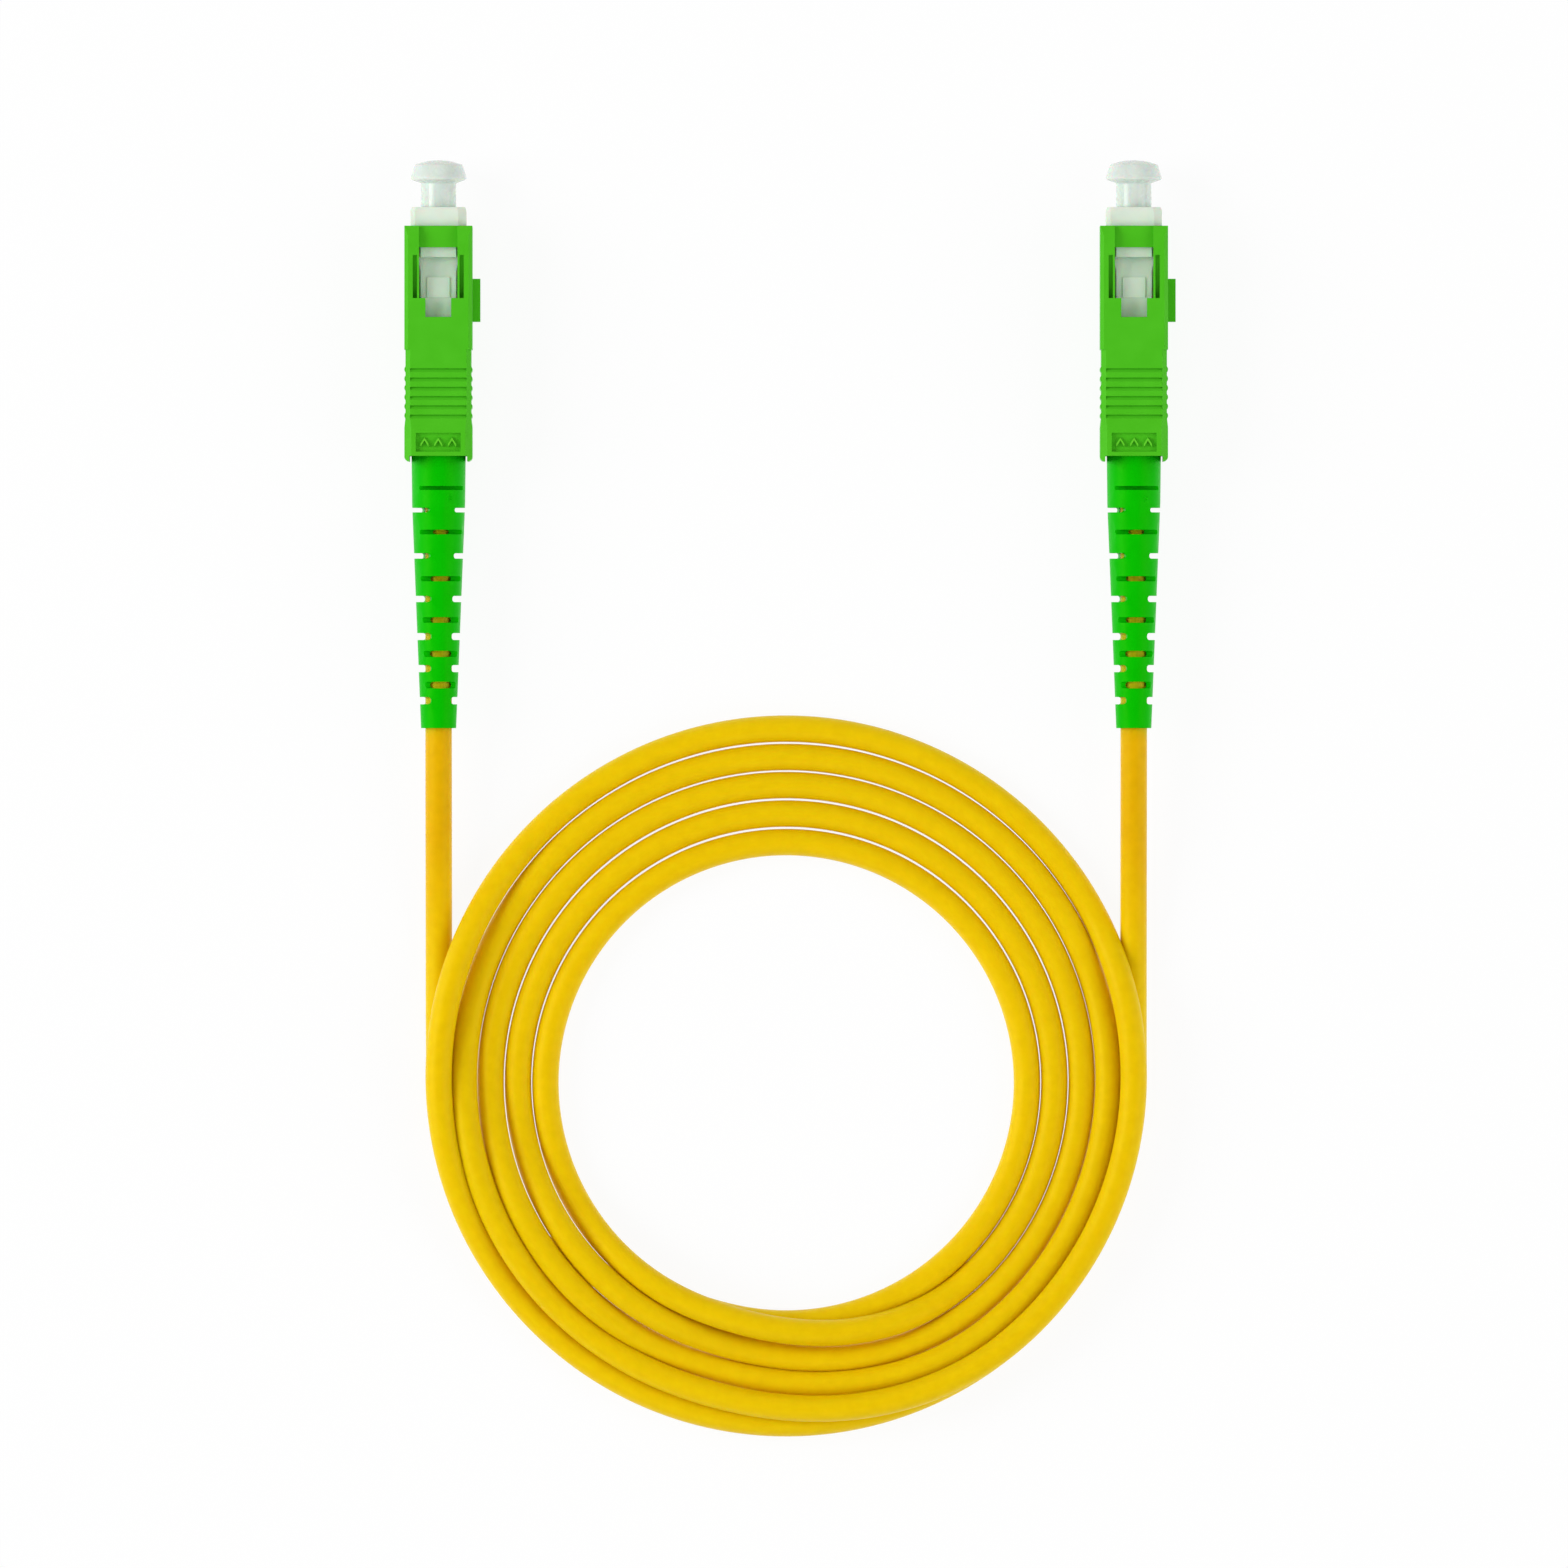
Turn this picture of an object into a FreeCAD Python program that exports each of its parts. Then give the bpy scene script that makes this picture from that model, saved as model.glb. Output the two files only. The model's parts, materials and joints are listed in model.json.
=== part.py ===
"""A coiled simplex fibre optic patch cord with a push-pull angled-polish connector on each end.

The cord lies flat on a surface at z = 0. Two identical connectors lie side by side, pointing along +Y, with
their window faces up and their keys towards +X. Their cables run back along -Y, pass under the outermost turn
on either side of a five-turn round coil, and are the two ends of one cord. The origin is on the surface,
midway between the two connector axes and midway along the connectors. Millimetres throughout.

Each connector is made in its own frame: its axis is the Y axis, y = 0 is the front face of the grip housing,
+Y points out of the ferrule, and +Z is the window face that lies uppermost.
"""

import FreeCAD, Part  # noqa: E401, I001  FreeCAD is imported first, or Part crashes

import math
import os

V = FreeCAD.Vector

# ---- driving dimensions of the whole cord ----
CORD_R = 1.45  # outer radius of the jacket
COIL_OUTER_R = 39.4  # outside of the outermost turn
TURN_PITCH = 2.98  # from one turn to the next, measured across the coil
TURNS = 5
COIL_CENTRE_Y = -69.0
AXIS_X = COIL_OUTER_R - CORD_R  # each connector's axis is tangent to the outermost turn
FRONT_Y = 23.8  # front face of the grip housings
AXIS_Z = 4.5  # half the depth of a grip housing, which lies on its window face
RAISED_FROM_DEG, RAISED_TO_DEG = 148, 388  # where the turns ride over the crossing cord
COIL_ROUND = 0.8  # cut off the coil's upper edges, as its turns are round
CLEAR = 1.0  # how far a cut reaches beyond the shape that it cuts

# ---- grip housing, the green push-pull sleeve ----
GRIP_W, GRIP_D = 7.4, 9.0
GRIP_TOP_L = 25.1  # length of its window faces
GRIP_SIDE_L = 25.7  # its side walls reach a little further back
GRIP_STEP_Y = -13.5  # the part in front of this step enters the adapter
GRIP_TAIL_Y = (-20.9, -22.0)  # the waist widens and its chamfers grow along this stretch
GRIP_WAIST_W = 7.16
GRIP_CORNER_R = 0.5  # rounds the side walls' rear corners
GRIP_LEAD_Y, GRIP_LEAD_DROP = -1.1, 0.4  # its window faces slope down to its front edge
CAVITY_W, CAVITY_D = 6.3, 6.5
EDGE_CHAMFER, WAIST_CHAMFER, TAIL_CHAMFER = 0.4, 0.5, 0.75
CHANNEL_HALF_W, CHANNEL_FLOOR_Z = 2.1, 3.75
WINDOW_Y = (-2.35, -7.9)
POCKET_X, POCKET_FRONT_Y, POCKET_FLOOR_Z = (2.32, 2.78), -3.2, (4.15, 3.45)  # its floor slopes to the rear
NOTCH_HALF_W, NOTCH_END_Y = 1.4, -9.95
RIB_COUNT, RIB_PITCH, RIB_FIRST_Y, RIB_DEPTH, RIB_RAMP = 6, 1.01, -15.57, 0.31, 0.42
SIDE_BUMP_R, SIDE_BUMP_RISE = 0.5, 0.12
LABEL_HALF_W, LABEL_Y, LABEL_DEPTH = 2.45, (-22.6, -24.65), 0.45
KEY_Y, KEY_RISE, KEY_HALF_D = (-5.75, -10.45), 0.86, 1.0
TRAVEL = 2.2  # how far the grip housing slides back on the plug frame
GUIDE_HALF_D, GUIDE_DEPTH, GUIDE_PLAY = 1.0, 0.3, 0.05  # the grooves that the plug frame's lugs run in

# ---- plug frame, the white inner housing ----
FRAME_FRONT_Y, FRAME_REAR_Y = 2.05, -14.5
FRAME_W, FRAME_D = 6.1, 6.3
FRAME_BLOCK_REAR_Y = -1.9
FRAME_KEY_CHAMFER, FRAME_PLAIN_CHAMFER = 0.9, 0.45  # at the corners towards the key, and at the others
FRAME_LEAD_L, FRAME_LEAD_IN = 0.35, 0.15  # its front edges are tapered
WAIST_TOP_HALF_W, WAIST_TOP_Z, WAIST_SIDE_Z = 1.95, 2.75, 1.6
PAD_Z, PAD_CATCH_Y, PAD_RAMP_END_Y = 3.15, -3.4, -5.6
PAD_RECESS_Z, PAD_FLAT_Z = 2.4, 2.92
PAD_END_Y, CENTRE_PAD_HALF_W, CENTRE_PAD_Z = -7.85, 1.25, 3.08
REAR_PAD_END_Y, REAR_PAD_Z = -10.8, 2.98  # a lower pad behind the centre one
FRONT_BORE_R, PARTITION_Y, PARTITION_BORE_R = 2.35, (-4.6, -5.4), 1.45
REAR_BORE_R = 2.3
LUG_Y, LUG_HALF_D, LUG_RISE = (-11.05, -13.0), 0.9, 0.33
SNAP_Y, SNAP_GROOVE_R, SNAP_RING_R = (-13.1, -13.7), 2.5, 2.42

# ---- ferrule assembly, which floats on its spring ----
FERRULE_R, FERRULE_TIP_Y, FERRULE_REAR_Y = 1.25, 3.2, -7.3
FERRULE_BORE_R, GLASS_R, COATING_R = 0.07, 0.0625, 0.125
POLISH_DEG = 8.0  # the angled polish
TIP_CHAMFER = 0.35
COATING_L, STRIP_L = 0.9, 0.5  # coated fibre inside the ferrule, and the cone from it to the bare glass
FLANGE_R, FLANGE_FRONT_L = 2.15, 1.5
FLANGE_COLLAR_R, FLANGE_COLLAR_REAR_Y = 1.5, -7.6
FLANGE_TAIL_R, FLANGE_REAR_Y, FLANGE_BORE_R = 1.3, -10.9, 0.5
KEYWAY_HALF_W, KEYWAY_FLOOR = 0.35, 1.75
FLOAT = 1.0  # how far the ferrule can be pushed back
SPRING_R, SPRING_WIRE_R, SPRING_TURNS = 1.8, 0.22, 6
SPRING_Y = (-6.92, -12.48)

# ---- rear body, crimp and cable end ----
REAR_FRONT_Y = FLANGE_REAR_Y - FLOAT - 0.6  # the floating ferrule stays clear of it
REAR_FLANGE_Y, REAR_FLANGE_R = (-14.5, -15.7), 2.75
BARREL_R, BARREL_END_Y, BARREL_BORE_R = 1.65, -21.5, 1.0
KNURL_PITCH, KNURL_DEPTH, KNURL_SLOPE, KNURL_FLOOR_L = 0.6, 0.1, 0.1, 0.15
YARN_R, YARN_Y = 1.84, (-16.0, -23.0)
CRIMP_R, CRIMP_BORE_R, CRIMP_Y = 2.2, 1.86, (-15.8, -23.1)
CRIMP_NECK_R, CRIMP_NECK_BORE_R, CRIMP_NECK_Y = 1.86, 1.47, (-23.9, -26.6)
JACKET_END_Y = -24.0
BUFFER_R = 0.45

# ---- boot, the slotted strain relief ----
BOOT_FRONT_Y, BOOT_NECK_Y, BOOT_END_Y = -16.2, -30.2, -54.8
BOOT_HEAD_R, BOOT_NECK_R, BOOT_END_R = 2.96, 2.9, 1.92
BOOT_CRIMP_BORE_R, BOOT_NECK_BORE_R, BOOT_BORE_R, BOOT_CLOSE_BORE_R = 2.24, 1.9, 1.72, 1.52
BOOT_CLOSE_Y = (-29.3, -52.4)  # in front of the first and behind the second it fits the cord closely
BOOT_TURNED_DEG = 10  # the boot sits turned a little about its axis
BOOT_SLOT_ROUND = 0.42  # the rounding of a slot's floor, as a share of its width
# Each slot as (distance behind the grip housing's front, width, distance of its floor from the axis).
TOP_SLOTS = [(28.6, 0.42, 1.6), (33.4, 0.5, 1.48), (38.5, 0.55, 1.32), (43.0, 0.6, 1.31), (46.7, 0.66, 1.26),
             (50.1, 0.72, 1.28)]
SIDE_SLOTS = [(31.0, 0.5, 1.37), (36.0, 0.6, 1.3), (40.7, 0.68, 1.16), (44.8, 0.76, 1.1), (48.3, 0.78, 1.1),
              (51.8, 0.8, 1.1)]

# ---- dust cap ----
CAP_RIM_R, CAP_TOP_R, CAP_DOME_R = 3.05, 2.74, 1.5
CAP_NECK_Y, CAP_RIM_Y, CAP_TOP_Y, CAP_DOME_Y = 4.7, 5.08, 6.75, 7.2
CAP_STEM_R, CAP_BORE_R, CAP_BORE_END_Y, CAP_REAR_Y = 1.97, 1.27, 4.1, -3.4

# ---- the straight cable ends, as points in the vertical plane through a connector axis: (y, z) ----
LEG_POINTS = [(FRONT_Y + JACKET_END_Y, AXIS_Z), (-36.5, AXIS_Z), (-53.0, CORD_R), (COIL_CENTRE_Y, CORD_R)]
ARC_SHARE = 0.45


# ---- small shapes, all about the connector's own axis ----
def block(x0, x1, y0, y1, z0, z1):
    """A box between two corners, given in any order."""
    low = V(min(x0, x1), min(y0, y1), min(z0, z1))
    return Part.makeBox(abs(x1 - x0), abs(y1 - y0), abs(z1 - z0), low)


def bar(radius, y0, y1):
    """A round bar along the axis."""
    return Part.makeCylinder(radius, abs(y1 - y0), V(0, min(y0, y1), 0), V(0, 1, 0))


def turned(points):
    """A solid of revolution about the axis from (radius, y) points."""
    corners = [V(r, y, 0) for r, y in points]
    face = Part.Face(Part.makePolygon(corners + corners[:1]))
    return face.revolve(V(0, 0, 0), V(0, 1, 0), 360)


def along_y(points, y0, y1):
    """A prism along the axis from an outline of (x, z) points."""
    corners = [V(x, y0, z) for x, z in points]
    return Part.Face(Part.makePolygon(corners + corners[:1])).extrude(V(0, y1 - y0, 0))


def along_x(points, x0, x1):
    """A prism across the connector from an outline of (y, z) points."""
    corners = [V(x0, y, z) for y, z in points]
    return Part.Face(Part.makePolygon(corners + corners[:1])).extrude(V(x1 - x0, 0, 0))


def chamfered_section(width, depth, chamfer):
    """The (x, z) corners of a rectangle with its corners cut off."""
    a, b = width / 2, depth / 2
    quarter = [(a, b - chamfer), (a - chamfer, b)]
    left = [(-x, z) for x, z in reversed(quarter)]
    return quarter + left + [(-x, -z) for x, z in quarter] + [(x, -z) for x, z in reversed(quarter)]


def section_wire(points, y):
    """The outline of (x, z) points as a closed wire across the axis at y."""
    corners = [V(x, y, z) for x, z in points]
    return Part.makePolygon(corners + corners[:1])


def top_and_bottom(shape):
    """A shape together with its copy on the other window face."""
    return [shape, shape.rotated(V(0, 0, 0), V(0, 1, 0), 180)]


# ---- the pieces of one connector ----
def grip_housing():
    body = along_y(chamfered_section(GRIP_W, GRIP_D, EDGE_CHAMFER), 0, GRIP_STEP_Y)
    waist_section = chamfered_section(GRIP_WAIST_W, GRIP_D, WAIST_CHAMFER)
    tail_section = chamfered_section(GRIP_W, GRIP_D, TAIL_CHAMFER)
    waist = along_y(waist_section, GRIP_STEP_Y, GRIP_TAIL_Y[0])
    flare = Part.makeLoft([section_wire(waist_section, GRIP_TAIL_Y[0]),
                           section_wire(tail_section, GRIP_TAIL_Y[1])], True, True)
    tail = along_y(tail_section, GRIP_TAIL_Y[1], -GRIP_SIDE_L)
    tail = tail.cut(Part.makeCompound(rear_corners()))
    key = block(GRIP_W / 2 - 0.2, GRIP_W / 2 + KEY_RISE, *KEY_Y, -KEY_HALF_D, KEY_HALF_D)
    shape = body.fuse([waist, flare, tail, key, *side_bumps()])
    cuts = [block(-CAVITY_W / 2, CAVITY_W / 2, CLEAR, -GRIP_SIDE_L - CLEAR, -CAVITY_D / 2, CAVITY_D / 2)]
    guide_y = LUG_Y[0] + TRAVEL + GUIDE_PLAY, LUG_Y[1] - GUIDE_PLAY
    for side in (-1, 1):
        inner, outer = side * (CAVITY_W / 2 - 0.1), side * (CAVITY_W / 2 + GUIDE_DEPTH)
        cuts.append(block(inner, outer, *guide_y, -GUIDE_HALF_D, GUIDE_HALF_D))
    for cut in (lead_in_cut(), *window_cuts(), *rib_cuts(), *rear_cuts()):
        cuts += top_and_bottom(cut)
    cuts.append(block(-LABEL_HALF_W, LABEL_HALF_W, *LABEL_Y, GRIP_D / 2 - LABEL_DEPTH, GRIP_D / 2 + CLEAR))
    return shape.cut(Part.makeCompound(cuts)).removeSplitter()


def rear_corners():
    """What rounding takes off the outer corners of the side walls' rear ends."""
    corners = []
    for side in (-1, 1):
        x, y = side * (GRIP_W / 2 - GRIP_CORNER_R), -GRIP_SIDE_L + GRIP_CORNER_R
        corner = block(x, side * GRIP_W, y, y - GRIP_W, -GRIP_D, GRIP_D)
        corners.append(corner.cut(Part.makeCylinder(GRIP_CORNER_R, 2 * GRIP_D, V(x, y, -GRIP_D))))
    return corners


def side_bumps():
    """The half-round grip bumps on the two side faces."""
    half_d = GRIP_D / 2 - WAIST_CHAMFER
    bumps = []
    for side in (-1, 1):
        x = side * (GRIP_WAIST_W / 2 + SIDE_BUMP_RISE - SIDE_BUMP_R)
        for i in range(RIB_COUNT):
            y = RIB_FIRST_Y - (i + 0.1) * RIB_PITCH
            bumps.append(Part.makeCylinder(SIDE_BUMP_R, 2 * half_d, V(x, y, -half_d), V(0, 0, 1)))
    return bumps


def window_cuts():
    """The latch channel, the window with its pockets, and the notch behind it, for one window face."""
    top, inside = GRIP_D / 2 + CLEAR, CAVITY_D / 2 - 0.1
    channel = block(-CHANNEL_HALF_W, CHANNEL_HALF_W, CLEAR, WINDOW_Y[0], CHANNEL_FLOOR_Z, top)
    window = block(-CHANNEL_HALF_W, CHANNEL_HALF_W, *WINDOW_Y, inside, top)
    notch = block(-NOTCH_HALF_W, NOTCH_HALF_W, WINDOW_Y[1], NOTCH_END_Y, inside, top)
    pocket = [(POCKET_FRONT_Y, top), (POCKET_FRONT_Y, POCKET_FLOOR_Z[0]), (WINDOW_Y[1], POCKET_FLOOR_Z[1]),
              (WINDOW_Y[1], top)]
    pockets = [along_x(pocket, side * POCKET_X[0], side * POCKET_X[1]) for side in (-1, 1)]
    return [channel, window, notch, *pockets]


def lead_in_cut():
    """The slope at the front of one window face."""
    top, low = GRIP_D / 2, GRIP_D / 2 - GRIP_LEAD_DROP
    outline = [(CLEAR, top + CLEAR), (CLEAR, low), (0, low), (GRIP_LEAD_Y, top), (GRIP_LEAD_Y, top + CLEAR)]
    return along_x(outline, -GRIP_W, GRIP_W)


def rib_cuts():
    """Grooves across one window face, steep on the side towards the front and ramped on the other."""
    top, half_w = GRIP_D / 2, GRIP_WAIST_W / 2 - WAIST_CHAMFER
    grooves = []
    for i in range(RIB_COUNT):
        y = RIB_FIRST_Y - i * RIB_PITCH
        outline = [(y, top - RIB_DEPTH), (y, top + CLEAR), (y - RIB_RAMP, top + CLEAR), (y - RIB_RAMP, top)]
        grooves.append(along_x(outline, -half_w, half_w))
    return grooves


def rear_cuts():
    """The window face stops short of the side walls at the back."""
    return [block(-CAVITY_W / 2, CAVITY_W / 2, -GRIP_TOP_L, -GRIP_SIDE_L - CLEAR, 0, GRIP_D / 2 + CLEAR)]


def frame_section(inset):
    """The (x, z) corners of the plug frame's front block, made smaller all round by an inset."""
    a, b = FRAME_W / 2 - inset, FRAME_D / 2 - inset
    key, plain = FRAME_KEY_CHAMFER, FRAME_PLAIN_CHAMFER
    top = [(a, b - key), (a - key, b), (plain - a, b), (-a, b - plain)]
    return top + [(x, -z) for x, z in reversed(top)]


def plug_frame():
    lead_y = FRAME_FRONT_Y - FRAME_LEAD_L
    front = along_y(frame_section(0), lead_y, FRAME_BLOCK_REAR_Y)
    lead = Part.makeLoft([section_wire(frame_section(0), lead_y),
                          section_wire(frame_section(FRAME_LEAD_IN), FRAME_FRONT_Y)], True, True)
    a, b = FRAME_W / 2, WAIST_TOP_HALF_W
    octagon = [(a, WAIST_SIDE_Z), (b, WAIST_TOP_Z), (-b, WAIST_TOP_Z), (-a, WAIST_SIDE_Z),
               (-a, -WAIST_SIDE_Z), (-b, -WAIST_TOP_Z), (b, -WAIST_TOP_Z), (a, -WAIST_SIDE_Z)]
    waist = along_y(octagon, FRAME_BLOCK_REAR_Y, FRAME_REAR_Y)
    inside, outside = WAIST_TOP_Z - CLEAR, PAD_Z + CLEAR
    pad = along_x(
        [(FRAME_BLOCK_REAR_Y, inside), (FRAME_BLOCK_REAR_Y, PAD_Z), (PAD_CATCH_Y, PAD_Z),
         (PAD_CATCH_Y, PAD_RECESS_Z), (PAD_RAMP_END_Y, PAD_FLAT_Z), (PAD_END_Y, PAD_FLAT_Z),
         (PAD_END_Y, inside)], -b, b
    )
    centre_pad = block(-CENTRE_PAD_HALF_W, CENTRE_PAD_HALF_W, PAD_RAMP_END_Y, PAD_END_Y, inside, CENTRE_PAD_Z)
    rear_pad = block(-b, b, PAD_END_Y, REAR_PAD_END_Y, inside, REAR_PAD_Z)
    recess = along_x(
        [(PAD_CATCH_Y, outside), (PAD_CATCH_Y, PAD_RECESS_Z), (PAD_RAMP_END_Y, PAD_FLAT_Z),
         (PAD_RAMP_END_Y, outside)], -FRAME_W, FRAME_W
    )
    lugs = block(-FRAME_W / 2 - LUG_RISE, FRAME_W / 2 + LUG_RISE, *LUG_Y, -LUG_HALF_D, LUG_HALF_D)
    shape = front.fuse([lead, waist, lugs])
    shape = shape.cut(Part.makeCompound(top_and_bottom(recess)))
    shape = shape.fuse([*top_and_bottom(pad), *top_and_bottom(centre_pad), *top_and_bottom(rear_pad)])
    bores = [
        bar(FRONT_BORE_R, FRAME_FRONT_Y + CLEAR, PARTITION_Y[0]),
        bar(PARTITION_BORE_R, PARTITION_Y[0] + CLEAR, PARTITION_Y[1] - CLEAR),
        bar(REAR_BORE_R, PARTITION_Y[1], FRAME_REAR_Y - CLEAR),
        bar(SNAP_GROOVE_R, *SNAP_Y),
        turned([(0, FRAME_FRONT_Y + 0.1), (FRONT_BORE_R + 0.35, FRAME_FRONT_Y + 0.1),
                (FRONT_BORE_R, FRAME_FRONT_Y - 0.25), (0, FRAME_FRONT_Y - 0.25)]),
    ]
    for bore in bores:
        shape = shape.cut(bore)
    return shape.removeSplitter()


def polish(shape):
    """The shape with its tip cut at the angled polish, which leans about the X axis."""
    slope = math.tan(math.radians(POLISH_DEG))
    middle_y = FERRULE_TIP_Y - (FERRULE_R - TIP_CHAMFER) * slope
    reach, ahead = 2 * FERRULE_R, FERRULE_TIP_Y + 2 * CLEAR
    outline = [(middle_y - reach * slope, -reach), (ahead, -reach), (ahead, reach),
               (middle_y + reach * slope, reach)]
    return shape.cut(along_x(outline, -reach, reach))


def ferrule():
    tip_r, rough_tip_y = FERRULE_R - TIP_CHAMFER, FERRULE_TIP_Y + CLEAR
    return polish(turned([
        (FERRULE_BORE_R, rough_tip_y), (tip_r, rough_tip_y), (tip_r, FERRULE_TIP_Y),
        (FERRULE_R, FERRULE_TIP_Y - 2 * TIP_CHAMFER), (FERRULE_R, FERRULE_REAR_Y),
        (FLANGE_BORE_R, FERRULE_REAR_Y), (FERRULE_BORE_R, FERRULE_REAR_Y + 2 * COATING_L)
    ]))


def ferrule_flange():
    front = PARTITION_Y[1]
    shape = turned([
        (FERRULE_R, front), (FLANGE_R, front), (FLANGE_R, front - FLANGE_FRONT_L),
        (FLANGE_COLLAR_R, front - FLANGE_FRONT_L), (FLANGE_COLLAR_R, FLANGE_COLLAR_REAR_Y),
        (FLANGE_TAIL_R, FLANGE_COLLAR_REAR_Y - 0.2), (FLANGE_TAIL_R, FLANGE_REAR_Y),
        (FLANGE_BORE_R, FLANGE_REAR_Y), (FLANGE_BORE_R, FERRULE_REAR_Y), (FERRULE_R, FERRULE_REAR_Y)
    ])
    keyway = block(-KEYWAY_HALF_W, KEYWAY_HALF_W, front + CLEAR, front - FLANGE_FRONT_L,
                   KEYWAY_FLOOR, FLANGE_R + CLEAR)
    keyways = [keyway.rotated(V(0, 0, 0), V(0, 1, 0), angle) for angle in (0, 90, 180, 270)]
    return shape.cut(Part.makeCompound(keyways))


def glass_fibre():
    """The bare glass in the ferrule, and the coated fibre behind it as far as the buffer."""
    strip_y = FERRULE_REAR_Y + COATING_L
    bare = bar(GLASS_R, FERRULE_TIP_Y + CLEAR, strip_y + STRIP_L)
    coated = bar(COATING_R, strip_y, FERRULE_REAR_Y)
    cone = Part.makeCone(COATING_R, GLASS_R, STRIP_L, V(0, strip_y, 0), V(0, 1, 0))
    return polish(bare.fuse([coated, cone])).removeSplitter()


def ferrule_spring():
    """A compression spring with flat ground ends."""
    lap = 0.5  # turns that the grinding takes off each end
    length = SPRING_Y[0] - SPRING_Y[1]
    pitch = (length - 2 * SPRING_WIRE_R) / SPRING_TURNS
    helix = Part.makeHelix(pitch, pitch * (SPRING_TURNS + 2 * lap), SPRING_R)
    section = Part.Wire(Part.makeCircle(SPRING_WIRE_R, V(SPRING_R, 0, 0), V(0, 1, 0)))
    coil = Part.Wire(helix).makePipeShell([section], True, True)
    coil = coil.rotated(V(0, 0, 0), V(1, 0, 0), -90)
    coil.translate(V(0, SPRING_Y[1] - pitch * lap + SPRING_WIRE_R, 0))
    return coil.common(bar(2 * SPRING_R, *SPRING_Y))


def rear_body():
    spigot_r = REAR_BORE_R - 0.03
    snap_front_y, snap_rear_y = SNAP_Y[0] - 0.05, SNAP_Y[1] + 0.05
    points = [
        (BARREL_BORE_R, REAR_FRONT_Y), (spigot_r, REAR_FRONT_Y), (spigot_r, snap_front_y),
        (SNAP_RING_R, snap_front_y - 0.2), (SNAP_RING_R, snap_rear_y), (spigot_r, snap_rear_y),
        (spigot_r, REAR_FLANGE_Y[0]), (REAR_FLANGE_R, REAR_FLANGE_Y[0]), (REAR_FLANGE_R, REAR_FLANGE_Y[1]),
        (BARREL_R, REAR_FLANGE_Y[1])
    ]
    y = REAR_FLANGE_Y[1] - KNURL_PITCH
    floor_r = BARREL_R - KNURL_DEPTH
    while y > BARREL_END_Y + KNURL_PITCH:  # the grooves that hold the yarn
        floor_y = y - KNURL_SLOPE
        points += [(BARREL_R, y), (floor_r, floor_y), (floor_r, floor_y - KNURL_FLOOR_L),
                   (BARREL_R, floor_y - KNURL_FLOOR_L - KNURL_SLOPE)]
        y -= KNURL_PITCH
    points += [(BARREL_R, BARREL_END_Y), (BARREL_BORE_R, BARREL_END_Y)]
    return turned(points)


def aramid_yarn():
    """The cable's yarn, spread over the rear body's barrel under the crimp and gathered in behind it."""
    gather = BARREL_END_Y - 0.7
    return turned([
        (BARREL_R + 0.01, YARN_Y[0]), (YARN_R, YARN_Y[0]), (YARN_R, BARREL_END_Y - 0.3),
        (CORD_R - 0.1, YARN_Y[1]), (CORD_R - 0.1, JACKET_END_Y), (BUFFER_R + 0.05, JACKET_END_Y),
        (BUFFER_R + 0.05, YARN_Y[1]), (BARREL_BORE_R, gather), (BARREL_R + 0.01, BARREL_END_Y - 0.05)
    ])


def crimp_sleeve():
    return turned([
        (CRIMP_BORE_R, CRIMP_Y[0]), (CRIMP_R, CRIMP_Y[0]), (CRIMP_R, CRIMP_Y[1]),
        (CRIMP_NECK_R, CRIMP_NECK_Y[0]), (CRIMP_NECK_R, CRIMP_NECK_Y[1]),
        (CRIMP_NECK_BORE_R, CRIMP_NECK_Y[1]), (CRIMP_NECK_BORE_R, CRIMP_NECK_Y[0]), (CRIMP_BORE_R, CRIMP_Y[1])
    ])


def buffered_fibre():
    """The tight-buffered fibre, from the back of the ferrule to the cut end of the jacket."""
    return bar(BUFFER_R, FERRULE_REAR_Y, JACKET_END_Y)


def boot_slot(behind, width, floor):
    """What one slot takes out of the boot: it has a flat floor with rounded corners, and faces +Z."""
    reach = BOOT_HEAD_R + CLEAR
    slot = block(-reach, reach, -behind - width / 2, -behind + width / 2, floor, reach)
    across = [edge for edge in slot.Edges if edge.BoundBox.XLength > reach]
    return slot.makeFillet(BOOT_SLOT_ROUND * width, [edge for edge in across if edge.BoundBox.ZMax < reach])


def boot():
    close, wide = BOOT_CLOSE_BORE_R, BOOT_BORE_R
    front_close_y, rear_close_y = BOOT_CLOSE_Y
    shell = turned([
        (BOOT_CRIMP_BORE_R, BOOT_FRONT_Y), (BOOT_HEAD_R, BOOT_FRONT_Y), (BOOT_HEAD_R, -GRIP_TOP_L),
        (BOOT_NECK_R, BOOT_NECK_Y), (BOOT_END_R, BOOT_END_Y), (close, BOOT_END_Y), (close, rear_close_y),
        (wide, rear_close_y + 0.5), (wide, front_close_y - 0.3), (close, front_close_y),
        (close, CRIMP_NECK_Y[1] - 0.4), (BOOT_NECK_BORE_R, CRIMP_NECK_Y[1] - 0.1),
        (BOOT_NECK_BORE_R, CRIMP_NECK_Y[0]), (BOOT_CRIMP_BORE_R, CRIMP_Y[1])
    ])
    cuts = []
    for slots, turns in ((TOP_SLOTS, (0, 180)), (SIDE_SLOTS, (90, 270))):
        for slot in slots:
            for turn in turns:
                cuts.append(boot_slot(*slot).rotated(V(0, 0, 0), V(0, 1, 0), BOOT_TURNED_DEG + turn))
    return shell.cut(Part.makeCompound(cuts))


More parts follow.
